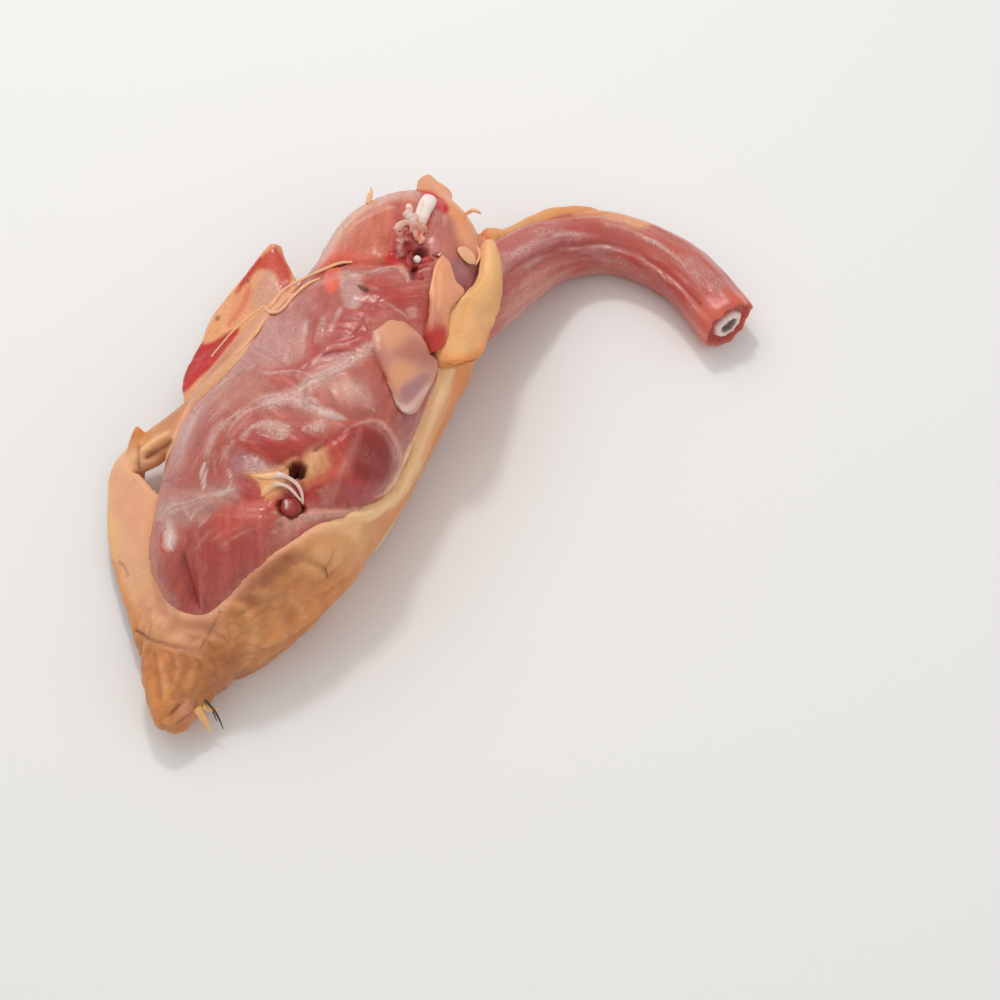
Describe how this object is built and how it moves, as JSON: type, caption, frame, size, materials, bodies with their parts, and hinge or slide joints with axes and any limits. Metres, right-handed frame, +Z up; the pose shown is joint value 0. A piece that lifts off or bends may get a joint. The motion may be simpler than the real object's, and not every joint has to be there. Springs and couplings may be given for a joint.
{
  "type": "chicken carcass",
  "caption": "Raw chicken carcass with curved neck and fatty back skin, lying on its side, for stock or as kitchen dressing.",
  "frame": {"origin": "on the floor, under the middle of the outline", "axes": "+Y from the tail to the neck, +X to the bird's back, +Z up through its upper (left) side"},
  "size_m": [0.1833, 0.2503, 0.0649],
  "materials": {
    "meat": "wet raw red meat under thin whitish tissue",
    "skin": "soft fatty yellow-beige skin, satin",
    "flap": "orange-beige tissue with a blood-red rim, satin",
    "cartilage": "smooth pinkish-beige cartilage",
    "fat": "peach fat and tissue, satin",
    "bone": "moist pinkish-white bone end",
    "joint": "wet dark red",
    "tendon": "moist cream tendon"
  },
  "bodies": {
    "root": {"trunk": "meat", "back_skin": "skin", "breast_flap": "flap", "shoulder_blade": "cartilage", "shoulder_strip": "fat", "shoulder_bone": "bone", "hip_ball": "joint", "hip_tendon": "tendon"}
  },
  "joints": []
}
